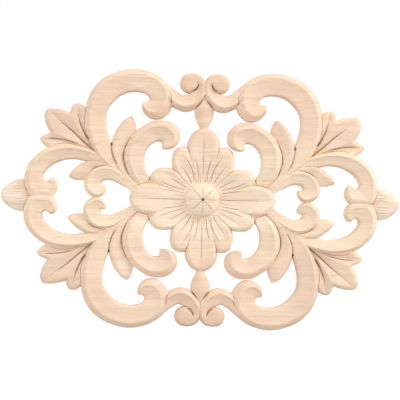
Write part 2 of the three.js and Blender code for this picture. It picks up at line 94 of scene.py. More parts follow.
# Scrolls and leaves of one quarter, from the root to the tip: outer edge u, v, then inner edge u, v.
# Each of these is a value at numbered stations. The ends are the share of the full rise, the crest
# the share of the width from the outer edge to the highest line, and the growth how far the section
# has grown out of the level ground that the roots share. The bevel and the hollow are how steeply
# the section falls to its outer and its inner side. Where a scroll meets its own mirror image the
# join fills up its outer side, and where it closes round an eye the melt fills up its inner side.
# The sink lowers a root beside the flower, as a share of the full rise.
RIBS = {
    "big_scroll": {
        "height": "scroll_height", "section": SCROLL_SECTION, "steps": 110,
        "ends": ((0, 1), (20, 1), (22, 0.5)),
        "crest": ((0, 0.18), (3, 0.19), (7, 0.25), (13, 0.24), (17, 0.36), (22, 0.4)),
        "growth": ((0.5, 0), (5.5, 1)),
        "hollow": ((2, 1.3), (6, 1), (9, 0.6), (14, 0.6), (17, 1.2)),
        "stations": (
            (70, 11, 66, 10), (80, 19, 73, 19), (90, 28.5, 80.5, 27), (99, 36, 87.3, 35),
            (107, 44, 91, 45), (113.3, 54, 91.8, 53), (117.8, 66, 95.7, 65), (119.2, 80, 97.7, 78),
            (118, 92.3, 96.3, 88), (113, 105.8, 91.6, 95.2), (102, 118.3, 85.3, 101.3),
            (86.3, 126, 77.7, 105.2), (69, 128.8, 69, 106.6), (52, 125.2, 62.2, 105.6),
            (40, 118, 58.6, 104.4), (33.3, 110, 56.6, 102.5), (31.4, 98, 55.4, 100.3),
            (34.7, 87.3, 55.8, 98.3), (43, 80.3, 56.4, 97.2), (53.3, 80.3, 57.4, 96.5),
            (60.4, 85.8, 58.7, 96.3), (62.6, 92, 60, 96.2), (61.7, 95.8, 61.2, 96.1),
        ),
    },
    "top_scroll": {
        "height": "scroll_height", "section": SCROLL_SECTION, "steps": 65,
        "ends": ((0, 0.5), (2, 1), (7, 1), (10, 0.92), (13, 0.86)),
        "crest": ((0, 0.34), (3, 0.3), (8, 0.32), (10, 0.3)),
        "bevel": ((0, 1), (2, 1.5), (6, 1.5), (8, 1.1)),
        "hollow": ((0, 1), (2, 1.9), (7, 1.8), (9, 1)),
        "join": ((6.5, 0), (8.5, 0.7), (10, 0.5), (11, 0)),
        "melt": ((8.5, 0), (10.5, 0.97), (13, 0.97)),
        "stations": (
            (44, 106, 46, 122), (38, 101, 40, 117.9), (33, 93.5, 34, 112.8), (28, 90.5, 28, 108),
            (21, 88.2, 22, 104.8), (14.5, 88.7, 17.5, 105.7), (8.7, 91.6, 13.5, 107.6),
            (4.5, 96.5, 10, 109.5), (1, 102, 7.8, 111.9), (-OVERLAP, 109, 6.8, 114.5),
            (-OVERLAP, 116, 8.6, 116.9), (1.1, 120.7, 10.5, 118.5), (5.8, 124.9, 13, 119.5),
            (13, 126.6, 16, 119.5),
        ),
    },
    "inner_scroll": {
        "height": "scroll_height", "section": SCROLL_SECTION, "steps": 90,
        "ends": ((0, 1), (16, 1), (18, 0.5)),
        "crest": ((3, 0.32), (8, 0.28), (12, 0.34), (16, 0.38)),
        "growth": ((0, 0), (2.5, 1)),
        "hollow": ((4, 1), (7, 1.1), (9, 1.7), (12, 1.6), (15, 1.2)),
        "sink": ((1.5, 0.3), (3, 0)),
        "stations": (
            (62, 8, 49, 12), (67, 13.5, 51, 18), (73, 21, 54.9, 24), (77.5, 30, 57.6, 30),
            (79.7, 40, 58.9, 37.5), (78.5, 50.5, 57.9, 45), (74.2, 59.7, 55.3, 50.6),
            (68, 67.3, 51.4, 54.9), (60.5, 72.4, 47.8, 57), (53, 76.9, 45, 57.5),
            (45, 78.4, 43.3, 57.4), (37, 77.9, 42.3, 57), (30, 74.5, 41.7, 56.3),
            (25.1, 68.7, 41.3, 55.4), (23.7, 61.5, 41.2, 54.4), (25.7, 55.5, 41.2, 53.4),
            (30.5, 51.3, 41.2, 52.4), (36, 49.7, 41.3, 51.4), (40, 49.9, 41.2, 50.6),
        ),
    },
    "side_scroll": {
        "height": "scroll_height", "section": SCROLL_SECTION, "steps": 100,
        "ends": ((0, 1), (18, 1), (20, 0.5)),
        "crest": ((0, 0.2), (3, 0.24), (8, 0.26), (12, 0.28), (16, 0.32)),
        "growth": ((0.5, 0), (4.5, 1)),
        "hollow": ((0, 1.3), (6, 1.5), (12, 1.2)),
        "join": ((12, 0), (13.7, 0.75), (16.2, 0.75), (17.2, 0)),
        "stations": (
            (88, 28, 90, 25), (96, 38, 98, 30), (102, 43, 105, 34), (108.5, 46, 111, 35),
            (117, 48.7, 118, 35.8), (127, 50.8, 127.5, 37.3), (138, 51, 136, 36.8),
            (149, 49.3, 144.2, 34.2), (158, 46, 150.8, 30.4), (165.7, 40.3, 155.7, 25.7),
            (172.1, 33.4, 158.6, 20.9), (176, 25, 158.8, 17.6), (177.1, 15, 157.8, 15.9),
            (175, 6, 156.4, 15), (169, -OVERLAP, 155.4, 14.8), (159, -OVERLAP, 154.4, 15),
            (151, -OVERLAP, 153.5, 15.4), (146, 3.8, 152.7, 16), (144.2, 9, 152, 16.8),
            (145, 14.2, 151, 17.7), (147.8, 17.8, 150.2, 18.3),
        ),
    },
    "small_scroll": {
        "height": "scroll_height", "section": SCROLL_SECTION, "steps": 70,
        "ends": ((0, 1), (12, 1), (14, 0.5)),
        "crest": ((0, 0.12), (3, 0.17), (8, 0.22), (12, 0.3)),
        "growth": ((0.5, 0), (3.5, 1)),
        "hollow": ((0, 1.5), (8, 1.4), (11, 1.1)),
        "stations": (
            (62, 9, 69, 5), (74, 18.5, 76, 10.3), (82.5, 25, 82.5, 13.3), (91, 30, 88, 16.1),
            (100, 31, 93, 17.5), (107.5, 29.2, 97.2, 17.2), (113.5, 24.5, 99.9, 15.9),
            (117.4, 18, 101.3, 14.2), (118.3, 11.5, 101.4, 12.9), (115.7, 5.1, 100.7, 12.2),
            (110, OVERLAP, 99.9, 11.8), (105, -OVERLAP, 99, 11.7), (100.2, 1.5, 98.1, 11.7),
            (97, 5.4, 97.3, 11.7), (95.8, 9, 96.6, 11.4),
        ),
    },
    "middle_leaf": {
        "height": "leaf_height", "section": LEAF_SECTION, "steps": 45,
        "ends": ((0, 1), (8, 1), (9, 0.4)),
        "crest": ((0, 0.2),),
        "growth": ((0, 0), (3, 1)),
        "hollow": ((2, 1.4), (7, 1.2)),
        "stations": (
            (70, 13, 63, 11), (77, 20, 71, 19.5), (84, 28.5, 76, 29), (89.5, 38, 78.2, 39.5),
            (92.4, 47, 77.2, 49.5), (92, 54.5, 73, 58), (90, 61.8, 68.3, 63.5),
            (86.2, 69.8, 67.6, 68), (80.4, 77.2, 69, 75.5), (73.5, 81.6, 72, 81.2),
        ),
    },
    "side_leaf": {
        "height": "leaf_height", "section": LEAF_SECTION, "steps": 35,
        "ends": ((0, 1), (5, 1), (6, 0.4)),
        "crest": ((0, 0.26),),
        "growth": ((0, 0), (2, 1)),
        "stations": (
            (97, 33, 97, 30), (105, 35.7, 104, 29.5), (113, 36.3, 110.5, 26),
            (120, 33.7, 115.5, 17.5), (125.8, 29.7, 121, 16.6), (131, 24.7, 127, 16.8),
            (133.6, 20.3, 132.8, 19),
        ),
    },
    "top_bud": {
        "height": "bud_height", "section": BUD_SECTION, "steps": 32,
        "ends": ((0, 0.6), (2, 1), (4, 1), (6, 0.6)),
        "crest": ((0, 0.5),),
        "stations": (
            (2, 104, -2, 104), (5.5, 96, -5.5, 96), (9.3, 90.5, -9.3, 90.5), (9, 84, -9, 84),
            (7.3, 79, -7.3, 79), (4.6, 73.6, -4.6, 73.6), (3, 69, -3, 69),
        ),
    },
    "side_bud": {
        "height": "side_bud_height", "section": BUD_SECTION, "steps": 40,
        "ends": ((0, 0.6), (2, 1), (5, 0.9), (7, 0.3)),
        "crest": ((0, 0.5),),
        "stations": (
            (168, -9, 168, 9), (174.5, -15.4, 174.5, 15.4), (181, -15.7, 181, 15.7),
            (187, -14.2, 187, 14.2), (192.3, -11, 192.3, 11), (196.4, -7.3, 196.4, 7.3),
            (198.9, -3.7, 198.9, 3.7), (199.4, -0.8, 199.4, 0.8),
        ),
    },
}

# The spray of three lobes at the corner: one outline a lobe, notch to notch round its tip
SPRAY_ROOT = (107.5, 44)
SPRAY_LEAN = 0.45
SPRAY_LOBES = (
    ((116, 85), (119.8, 90), (123.5, 92.2), (127.4, 92.8), (130.8, 91.1), (132.6, 87.8),
     (133.9, 83.5)),
    ((133.9, 83.5), (138, 84.9), (144, 86.3), (151, 86.9), (156.2, 86.2), (158.9, 82),
     (158.6, 75.5), (156.2, 68.8), (152.6, 63)),
    ((152.6, 63), (156, 61.4), (160, 59.6), (162.8, 56), (161.2, 53), (157.7, 50), (151, 45.5)),
)
SPRAY_TIP = SPRAY_LOBES[1][4]

# How far in from their outlines the petals and the sprays round off, in squares, and to which share
# of their rise
PETAL_RIM = 3.8
SPRAY_RIM = 4
RIM_LEAST = 0.15

# Petals from the side one round to the top one, notch to notch, from under the edge of the boss
PETAL_START = 15
PETALS = (
    ((50.5, -15.4), (60.5, -15), (67.5, -11.8), (71.4, -6), (73, 0), (71.4, 6), (67.5, 11.8),
     (60.5, 15), (50.5, 15.4)),
    ((50.5, 15.4), (53, 21), (50, 26.8), (44.3, 30.5), (38, 31.1), (33.5, 30.8), (30.3, 30.2)),
    ((30.3, 30.2), (31.3, 35.5), (31.3, 41), (29.2, 48.3), (24.5, 52.1), (20, 52.8), (16, 52.4)),
    ((16, 52.4), (15.8, 57), (13.8, 62.5), (9, 68.6), (0, 71.8), (-9, 68.6), (-13.8, 62.5),
     (-15.8, 57), (-16, 52.4)),
)

# The round eye of a top scroll: its section, rim to middle, is shares of the radius and of the rise
EYE = (15.2, 116.5)
EYE_RADIUS = 9.8
EYE_SECTION = (
    (1, 0), (0.985, 0.26), (0.95, 0.46), (0.89, 0.66), (0.81, 0.83), (0.72, 0.95), (0.64, 0.99),
    (0.45, 1), (0.2, 1), (0, 1),
)
EYE_GROOVE_RADIUS = EYE_RADIUS - 1.2
EYE_GROOVE_TURNS = (172, 195, 218, 240, 260)

# The share of the boss's height that its straight wall takes, and the pit in its middle: radius in
# squares and height, at the foot of the pit's wall and at its bottom
BOSS_WALL = 0.58
PIT_RADIUS = 1.5
PIT_FOOT = (1, 0.0104)
PIT_BOTTOM = (0, 0.0094)

# Cuts across the boss: turn in degrees, depth as a share of the groove depth, how dark the shade painted
# along its bottom is
SPOKES = ((0, 0.6, 0.35), (45, 0.9, 0.6), (90, 0.6, 0.4))

# Soft patches where the colour is a little darker: u, v, reach across, reach up, and how dark
PATCHES = (
    (-148, 76, 36, 26, 0.9), (-142, -76, 32, 24, 0.55), (110, -82, 30, 46, 0.7),
    (0, -128, 120, 26, 0.6), (75, 120, 44, 18, 0.5), (-62, 78, 40, 18, 0.55), (0, -64, 74, 20, 0.35),
)

# Fine V cuts: depth as a share of the groove depth, how dark the shade painted along the cut's bottom
# is, where along it the cut is full, then the points that it follows. A seam's cut moves to the lowest
# line of the valley there.
GROOVES = (
    (1.0, 0.35, (0.2, 0.8), ((0, 15.5), (0, 40), (0, 64))),
    (1.0, 0.35, (0.2, 0.8), ((16, 0), (36, 0), (62, 0))),
    (0.8, 0.3, (0.15, 0.5), ((1.9, 15.5), (2.7, 24), (4.2, 33))),
    (1.2, 0.45, (0.15, 0.6), ((3.7, 15.5), (5.8, 33), (9.8, 45))),
    (0.8, 0.3, (0.15, 0.5), ((5.6, 15.5), (8, 24), (12.5, 34))),
    (1.2, 0.45, (0.15, 0.6), ((7.5, 15.5), (12.2, 32.5), (22, 47))),
    (1.2, 0.45, (0.15, 0.6), ((10.3, 14.6), (15, 23.5), (24.5, 36))),
    (0.8, 0.3, (0.15, 0.5), ((12.8, 13.2), (18.5, 19), (26.5, 25.5))),
    (1.1, 0.4, (0.15, 0.6), ((14.8, 11), (26, 17.2), (37, 23.3))),
    (1.1, 0.4, (0.15, 0.6), ((16, 8.6), (33, 13.5), (47, 19.5))),
    (1.1, 0.4, (0.15, 0.6), ((16.8, 6), (30, 8.2), (44, 10.2))),
    (0.9, 0.35, (0.15, 0.5), ((17, 3.2), (24, 4.1), (34, 5.2))),
    (2.0, 0.8, (0.15, 0.6), ((113.5, 55), (118.3, 62.5), (123.3, 73), (127, 87))),
    (1.9, 0.65, (0.08, 0.6), ((107.5, 44.6), (118.5, 53.7), (133, 66.6), (151.5, 80.5))),
    (1.8, 0.65, (0.3, 0.8), ((120, 50.6), (133.5, 54.6), (144, 56.6), (158.5, 57))),
    (0.8, 0.15, (0.1, 0.4), ((175.5, 2.8), (183, 3.4), (192, 2.6))),
    (0.8, 0.15, (0.1, 0.4), ((176, 5.8), (183, 6.2), (190, 5.2))),
    (0.9, 0.25, (0.1, 0.4), ((176.5, 8.7), (183, 9), (189.5, 8))),
    (0.7, 0.2, (0.1, 0.4), ((177, 11.6), (181.5, 11.8), (186, 10.8))),
    (0.9, 0.25, (0.2, 0.6), ((166, 0), (172, 0), (180, 0))),
)
SEAMS = (
    (1.7, 0.7, (0.25, 0.75), ((69.8, 15.3), (75.2, 24.7), (77.9, 34), (79.1, 41.8), (77.9, 48.5),
                              (73.7, 58), (69, 64))),
    (1.3, 0.25, (0.4, 0.9), ((84.9, 28.6), (86.9, 32.4), (90, 39.4), (91.9, 46.4), (92.2, 55))),
    (2.6, 1.0, (0.4, 0.8), ((91.5, 51), (91.8, 53), (92, 55))),
    (1.4, 0.55, (0.15, 0.45), ((94, 32), (101, 31.8), (107.3, 30.4), (113, 26.4), (117.5, 21))),
    (0.8, 0.1, (0.3, 0.5), ((99.4, 34.7), (107.5, 36.7), (117, 35.9))),
    (2.0, 0.5, (0.1, 0.6), ((53.4, 24), (53.8, 19.5), (54.4, 15.8))),
    (1.3, 0.25, (0.1, 0.3), ((51.5, 16.2), (60.5, 15.5), (67.8, 12.2), (72, 6.5))),
    (1.0, 0.3, (0.3, 0.8), ((115, 59.5), (117.8, 68), (118.4, 80), (117.6, 90))),
    (1.0, 0.3, (0.3, 0.7), ((124, 50.6), (134, 51.6), (143, 51.2), (152.5, 48.3))),
    (1.4, 0.45, (0.05, 0.4), ((32.6, 95), (33.8, 100), (35.6, 105), (40, 109.5))),
    (1.4, 0.45, (0.3, 0.7), ((1.5, 102), (3.8, 96.4), (6.5, 93.2), (9.6, 90.4))),
    (1.8, 0.9, (0.3, 0.7), ((104.6, 0), (106.8, 0), (109.1, 0))),
    (1.1, 0.3, (0.4, 0.8), ((14.2, 46), (15.2, 49.5), (16.1, 53.5))),
    (1.1, 0.3, (0.4, 0.8), ((26.2, 26), (28.8, 28.6), (31, 30.9))),
    (0.8, 0.3, (0.2, 0.8), ((177.6, 16), (176.8, 10.5), (174, 5.2), (169.5, 1))),
)

# The picture's width, and how far its middle lies from the onlay's, in squares
PICTURE_WIDTH = 400
PICTURE_SHIFT = (-1.82, 0.01)


def size(name, description, default, **limits):
    """A length that a user can change, in metres."""
    return FloatProperty(
        name=name, description=description, default=default, unit="LENGTH",
        **{"min": 0.002, **limits})


def tint(name, description, default):
    """A colour that a user can change."""
    return FloatVectorProperty(
        name=name, description=description, default=default, subtype="COLOR", size=3, min=0, max=1)


def portion(name, description, default):
    """A number from 0 to 1 that a user can change."""
    return FloatProperty(
        name=name, description=description, default=default, min=0, max=1, subtype="FACTOR")


class SHAPE_PG_onlay(PropertyGroup):
    """Sizes of the carving."""

    length: size(
        "Length", "Overall length", ONLAY_HIGH.x - ONLAY_LOW.x, min=0.05, max=2)
    edge_height: size(
        "Edge height", "Height of the plain sides under the carving", 0.0052, min=0.001)
    scroll_height: size("Scroll height", "Height of the scrolls at their crests", 0.01)
    leaf_height: size("Leaf height", "Height of the plain leaves", 0.0088)
    spray_height: size("Spray height", "Height of the corner sprays at their ridges", 0.0082)
    spray_vein_height: size(
        "Spray vein height", "Height of the sprays along their veins", 0.0064)
    bud_height: size("Bud height", "Height of the buds above and below the flower", 0.0086)
    side_bud_height: size("Side bud height", "Height of the buds at the two ends", 0.008)
    eye_height: size("Eye height", "Height of the round eyes of the top scrolls", 0.0094)
    petal_height: size("Petal height", "Height of the petals at their crests", 0.0098)
    petal_seam_height: size(
        "Petal seam height", "Height of the petals where two of them meet", 0.0078)
    petal_middle_height: size(
        "Petal middle height", "Height of the petals along their middle lines", 0.009)
    ground_height: size(
        "Ground height", "Height of the level ground that the roots share", 0.0077)
    petal_root_height: size("Petal root height", "Height of the petals beside the boss", 0.0064)
    boss_height: size(
        "Boss height", "Height of the boss in the middle of the flower", 0.0119)
    boss_diameter: size("Boss diameter", "Diameter of the boss", 0.0254)
    groove_depth: size(
        "Groove depth", "Depth of the V cuts in the petals", 0.0006, min=0.0001, max=0.002)


class WOOD_PG_onlay(PropertyGroup):
    """Colours of the bare wood, and of the shade painted into its cuts."""

    pale: tint("Pale wood", "Main colour", (0.89, 0.718, 0.528))
    pink: tint("Pink wood", "Colour of the pinker boards", (0.87, 0.65, 0.497))
    gold: tint(
        "Golden wood", "Colour of the pale yellow wood at the flower", (0.925, 0.768, 0.583))
    cream: tint("Cream wood", "Colour of the palest wood, at the two ends", (0.94, 0.81, 0.67))
    orange: tint("Orange wood", "Colour of the warmest wood, at the top curls", (0.8, 0.57, 0.4))
    shade: tint("Patches", "Tint of the darker patches", (0.9, 0.89, 0.91))
    grain: tint("Grain", "Colour of the grain lines", (0.68, 0.46, 0.33))
    # Painted shade: the dark colour laid into the bottoms of the V cuts and the boss's pit, and how much
    # of it they take
    cut: tint("Cuts", "Colour at the bottoms of the V cuts", (0.2, 0.1, 0.05))
    cut_shade_strength: portion("Cut strength", "How much of that colour the deepest cuts take", 0.85)
    roughness: portion("Roughness", "Roughness of the sanded wood", 0.62)
    board_width: size(
        "Board width", "Width of the boards that the blank is glued from", 0.038, min=0.005)


class STAGE_PG_onlay(PropertyGroup):
    """Light and view."""

    lens: FloatProperty(
        name="Lens", description="Focal length in millimetres", default=110, min=20, max=300)
    roll: FloatProperty(
        name="Roll", description="Turn of the picture", default=math.radians(1.393),
        subtype="ANGLE")
    key_power: FloatProperty(
        name="Key light", description="Power of the main light in watts", default=51.5, min=0)
    fill_power: FloatProperty(
        name="Fill light", description="Power of the light from the left in watts", default=18,
        min=0)
    swing: FloatProperty(
        name="Swing", description="How far the camera stands to the left of the onlay",
        default=math.radians(4.15), subtype="ANGLE")
    dip: FloatProperty(
        name="Dip", description="How far the camera stands below the onlay",
        default=math.radians(1.5), subtype="ANGLE")
    sky: FloatProperty(
        name="Sky", description="Strength of the light from all round", default=0.9, min=0)
    floor_drop: FloatProperty(
        name="Floor", description="Depth of the floor under the middle of the onlay",
        default=0.45, min=0.1, unit="LENGTH")


def flat_curve(points, share):
    """The point that lies a share of the way along a smooth curve through flat points."""
    last = len(points) - 1
    place = min(max(share, 0), 1) * last
    first = min(int(place), last - 1)
    here, after = Vector(points[first]), Vector(points[first + 1])
    before = Vector(points[first - 1]) if first else 2 * here - after
    beyond = Vector(points[first + 2]) if first + 2 <= last else 2 * after - here
    spans = [math.sqrt((b - a).length) for a, b in ((before, here), (here, after), (after, beyond))]
    if spans[1] < 1e-4:
        spans[1] = 1
    spans = [span if span >= 1e-4 else spans[1] for span in spans]
    gap0, gap1, gap2 = spans
    leave = ((here - before) / gap0 - (after - before) / (gap0 + gap1)) * gap1 + (after - here)
    reach = (after - here) - (beyond - here) / (gap1 + gap2) * gap1 + (beyond - after) / gap2 * gap1
    at = place - first
    return (here + at * leave + at ** 2 * (3 * (after - here) - 2 * leave - reach)
            + at ** 3 * (2 * (here - after) + leave + reach))


def eased(stops, at):
    """The value at a place between stops of (place, value), eased from stop to stop."""
    if at <= stops[0][0]:
        return stops[0][1]
    for (low, start), (high, end) in zip(stops, stops[1:]):
        if at <= high:
            step = (at - low) / (high - low)
            return start + (end - start) * step * step * (3 - 2 * step)
    return stops[-1][1]


def in_order(bm, name):
    """A mesh of the same shape with its points and faces in one fixed order, because the mesh tools
    leave them in another order on each run."""
    verts = sorted(bm.verts, key=lambda vert: vert.co.to_tuple())
    number = {vert: index for index, vert in enumerate(verts)}
    rings = []
    for face in bm.faces:
        ring = [number[vert] for vert in face.verts]
        first = ring.index(min(ring))
        rings.append(ring[first:] + ring[:first])
    mesh = bpy.data.meshes.new(name)
    mesh.from_pydata([vert.co for vert in verts], [], sorted(rings))
    return mesh


def on_back(face):
    """Whether a face lies in the plane of the back."""
    return all(abs(vert.co.y) < MERGE for vert in face.verts)


def heading(degrees):
    """The unit vector (u, v) that points a number of degrees up from the right."""
    return Vector((math.cos(math.radians(degrees)), math.sin(math.radians(degrees))))


class Carving:
    """One quarter of the onlay, carved part by part and then turned over to the other three."""

    def __init__(self, sizes):
        self.sizes = sizes
        self.square = sizes.length / 2 / HALF_LENGTH_SQUARES
        self.parts = []
        self.cuts = []
        self.painted_shade = []

    def place(self, u, v, height):
        """Where a point of the pattern lies, at a height above the back."""
        return Vector((u * self.square, -height, v * self.square))

    def keep(self, name, bm, kept):
        """Make a finished shape an object, and keep it with the parts or with the cuts."""
        bmesh.ops.remove_doubles(bm, verts=bm.verts, dist=MERGE)
        bmesh.ops.recalc_face_normals(bm, faces=bm.faces)
        part = bpy.data.objects.new(name, in_order(bm, name))
        bm.free()
        bpy.context.scene.collection.objects.link(part)
        kept.append(part)
        return part

    def strip(self, name, steps, columns, face, base, kept):
        """A closed strip between a face and a base, each a rule from (row, column) to (u, v, height)."""
        bm = bmesh.new()
        bmesh.ops.create_grid(bm, x_segments=steps, y_segments=columns, size=1)
        made = bmesh.ops.extrude_face_region(bm, geom=list(bm.faces))
        low = {item for item in made["geom"] if isinstance(item, bmesh.types.BMVert)}
        for vert in bm.verts:
            row = round((vert.co.x + 1) / 2 * steps)
            column = round((vert.co.y + 1) / 2 * columns)
            vert.co = self.place(*(base if vert in low else face)(row, column))
        return self.keep(name, bm, kept)

    def turned(self, name, outline, sides, kept, place=(0, 0)):
        """A round part turned about its middle from an outline of (radius, height)."""
        bm = bmesh.new()
        middle = self.place(*place, 0)
        verts = [bm.verts.new(middle + self.place(radius, 0, height)) for radius, height in outline]
        edges = [bm.edges.new(pair) for pair in zip(verts, verts[1:])]
        bmesh.ops.spin(
            bm, geom=verts + edges, cent=middle, axis=(0, 1, 0), angle=math.tau, steps=sides,
            use_merge=True)
        return self.keep(name, bm, kept)

    def rib(self, name, height, section, steps, ends, crest, stations, growth=((0, 1),),
            bevel=((0, 1),), hollow=((0, 1),), join=((0, 0),), melt=((0, 0),), sink=((0, 0),)):
        edge, ground = self.sizes.edge_height, self.sizes.ground_height
        full = getattr(self.sizes, height) - edge
        rows = []
        for row in range(steps + 1):
            along = row / steps
            outer = flat_curve([station[:2] for station in stations], along)
            inner = flat_curve([station[2:] for station in stations], along)
            station = along * (len(stations) - 1)
            rows.append((outer, inner, full * eased(ends, station)) + tuple(
                eased(stops, station)
                for stops in (crest, growth, bevel, hollow, join, melt, sink)))
        drawn = next(share for share, lift in section if lift == 1)

        def face(row, column):
            outer, inner, rise, top, grown, steep, fall, joined, melted, sunk = rows[row]
            share, lift = section[column]
            if share < drawn:
                share *= top / drawn
                lift = 1 - (1 - lift) * steep * (1 - joined)
            else:
                share = top + (share - drawn) * (1 - top) / (1 - drawn)
                lift = 1 - (1 - lift) * fall * (1 - melted)
            height = edge + rise * lift
            return (*outer.lerp(inner, share), ground + (height - ground) * grown - full * sunk)

        self.strip(name, steps, len(section) - 1, face, lambda *at: (*face(*at)[:2], 0), self.parts)

    def rimmed(self, curves, width):
        """A rule for the share of the full rise at a point, which rounds off to its least share at
        an outline of curves."""
        outline = [flat_curve(curve, step / 80) for curve in curves for step in range(81)]
        tree = KDTree(len(outline))
        for index, (u, v) in enumerate(outline):
            tree.insert((u, v, 0), index)
        tree.balance()

        def share(point):
            away = min(1, tree.find((point[0], point[1], 0))[2] / width)
            return RIM_LEAST + (1 - RIM_LEAST) * math.sin(math.pi / 2 * away) ** 0.9
        return share

    def flower(self):
        sizes, per_petal, columns = self.sizes, 26, 26
        steps = per_petal * len(PETALS)
        tips = []
        for row in range(steps + 1):
            petal = min(row // per_petal, len(PETALS) - 1)
            across = (row - petal * per_petal) / per_petal
            tips.append((flat_curve(PETALS[petal], across), abs(2 * across - 1)))
        rim = self.rimmed(PETALS, PETAL_RIM)

        def spot(row, column):
            tip = tips[row][0]
            share = math.sin(math.pi / 2 * column / columns)
            return tip.normalized() * (PETAL_START + (tip.length - PETAL_START) * share)

        def face(row, column):
            tip, side = tips[row]
            point = spot(row, column)
            share = (point.length - PETAL_START) / (tip.length - PETAL_START)
            climb = eased(((0.08, 0), (0.9, 1)), share)
            low = (sizes.petal_height - sizes.petal_seam_height) * side ** 4
            low += (sizes.petal_height - sizes.petal_middle_height) * (1 - side) ** 1.5
            top = sizes.petal_root_height + (sizes.petal_height - low - sizes.petal_root_height) * climb
            return (*point, sizes.edge_height + (top - sizes.edge_height) * rim(point))

        self.strip("flower", steps, columns, face, lambda *at: (*spot(*at), 0), self.parts)

    def spray(self):
        sizes, per_lobe, columns = self.sizes, 24, 30
        steps = per_lobe * len(SPRAY_LOBES)
        root = Vector(SPRAY_ROOT)
        middle = Vector(SPRAY_TIP) - root
        lines = []
        for row in range(steps + 1):
            lobe = min(row // per_lobe, len(SPRAY_LOBES) - 1)
            across = (row - lobe * per_lobe) / per_lobe
            way = flat_curve(SPRAY_LOBES[lobe], across) - root
            turn = SPRAY_LEAN * way.angle_signed(middle)
            bend = Vector((
                way.x * math.cos(turn) + way.y * math.sin(turn),
                way.y * math.cos(turn) - way.x * math.sin(turn))) / 2
            lines.append((way, bend, abs(2 * across - 1)))
        rim = self.rimmed(SPRAY_LOBES, SPRAY_RIM)

        def reach(column):
            return math.sin(math.pi / 2 * column / columns)

        def spot(row, column):
            way, bend, _ = lines[row]
            share = reach(column)
            return root + 2 * share * (1 - share) * bend + share * share * way

        def face(row, column):
            point = spot(row, column)
            side = lines[row][2]
            top = sizes.spray_vein_height
            top += (sizes.spray_height - sizes.spray_vein_height) * side ** 0.7
            lift = eased(((0, 0), (0.45, 1)), reach(column)) * rim(point)
            return (*point, sizes.edge_height + (top - sizes.edge_height) * lift)

        self.strip("spray", steps, columns, face, lambda *at: (*spot(*at), 0), self.parts)

    def boss_and_eye(self):
        sizes = self.sizes
        radius = sizes.boss_diameter / 2 / self.square
        wall = BOSS_WALL * sizes.boss_height
        steps = 18
        outline = [(0, 0), (radius, 0)]
        for step in range(steps + 1):
            turn = math.pi / 2 * step / steps
            outline.append((
                radius * math.cos(turn), wall + (sizes.boss_height - wall) * math.sin(turn)))
        self.turned("boss", outline, 96, self.parts)
        rise = sizes.eye_height - sizes.edge_height
        outline = [(0, 0), (EYE_RADIUS, 0)]
        for share, lift in EYE_SECTION:
            outline.append((EYE_RADIUS * share, sizes.edge_height + rise * lift))
        self.turned("eye", outline, 64, self.parts, EYE)

    def groove(self, name, surface, points, depth, painted_shade, full, slope=0.55, seek=0.0):
        """A V cut that follows the carved surface along a curve and runs out at both ends, whose bottom
        line is kept for painted shade.
        """
        steps, spare = 26, 0.0008

        def height(point):
            hit = surface.ray_cast(self.place(*point, RAY_HEIGHT), Vector((0, 1, 0)))[0]
            return -hit.y if hit else self.sizes.edge_height

        # The line moves aside to the lowest place in reach, and of two as low to the nearer one
        line = []
        for row in range(steps + 1):
            along = row / steps
            here = flat_curve(points, along)
            ahead = flat_curve(points, min(1, along + 0.01)) - flat_curve(points, max(0, along - 0.01))
            aside = Vector((-ahead.y, ahead.x)).normalized()
            tries = [seek * step / 6 for step in range(-6, 7)] if seek else [0]
            shift = min(tries, key=lambda way: height(here + way * aside) + 0.0001 * abs(way))
            line.append((here, aside, shift))
        rows = []
        for row, (here, aside, _) in enumerate(line):
            near = [shift for _, _, shift in line[max(0, row - 3):row + 4]]
            here = here + aside * sum(near) / len(near)
            share = eased(((0, 0), (full[0], 1), (full[1], 1), (1, 0)), row / steps)
            rows.append((here, aside, height(here), depth * share, painted_shade * share))

        # The bottom line of the cut, where shade is painted into the wood's colour
        for one, other in zip(rows, rows[1:]):
            for step in range(8):
                here = one[0].lerp(other[0], step / 8)
                low = one[2] - one[3] + (other[2] - other[3] - one[2] + one[3]) * step / 8
                self.painted_shade.append((self.place(*here, low), one[4]))

        def face(row, column):
            here, aside, top, deep, _ = rows[row]
            if column == 1:
                return (*here, top - deep)
            return (*(here + (column - 1) * aside * (deep + spare) * slope / self.square), top + spare)

        def lid(row, column):
            u, v, _ = face(row, column)
            return (u, v, rows[row][2] + 2 * spare)

        self.strip(name, steps, 2, face, lid, self.cuts)

    def fine_cuts(self, surface):
        depth = self.sizes.groove_depth
        for index, (share, painted_shade, full, points) in enumerate(GROOVES):
            self.groove(f"groove_{index}", surface, points, depth * share, painted_shade, full)
        for index, (share, painted_shade, full, points) in enumerate(SEAMS):
            self.groove(
                f"seam_{index}", surface, points, depth * share, painted_shade, full, slope=0.4, seek=0.9)
        ring = [Vector(EYE) + EYE_GROOVE_RADIUS * heading(turn) for turn in EYE_GROOVE_TURNS]
        self.groove("eye_groove", surface, ring, depth * 2.4, 0.7, (0.35, 0.8), slope=0.4)
        for index, (turn, deep, painted_shade) in enumerate(SPOKES):
            way = heading(turn)
            self.groove(
                f"spoke_{index}", surface, [way * -1.2, way * 7, way * 14], depth * deep, painted_shade,
                (0.1, 0.9))
        boss, clear, sides = self.sizes.boss_height, 0.02, 24
        pit = [(0, clear), (PIT_RADIUS, clear), (PIT_RADIUS, boss), PIT_FOOT, PIT_BOTTOM]
        self.turned("pit", pit, sides, self.cuts)
        # Painted shade: the foot and the bottom of the pit take the darkest cut colour
        for radius, height in (PIT_FOOT, PIT_BOTTOM):
            for side in range(sides):
                point = self.place(*(radius * heading(360 * side / sides)), height)
                self.painted_shade.append((point, 1.0))

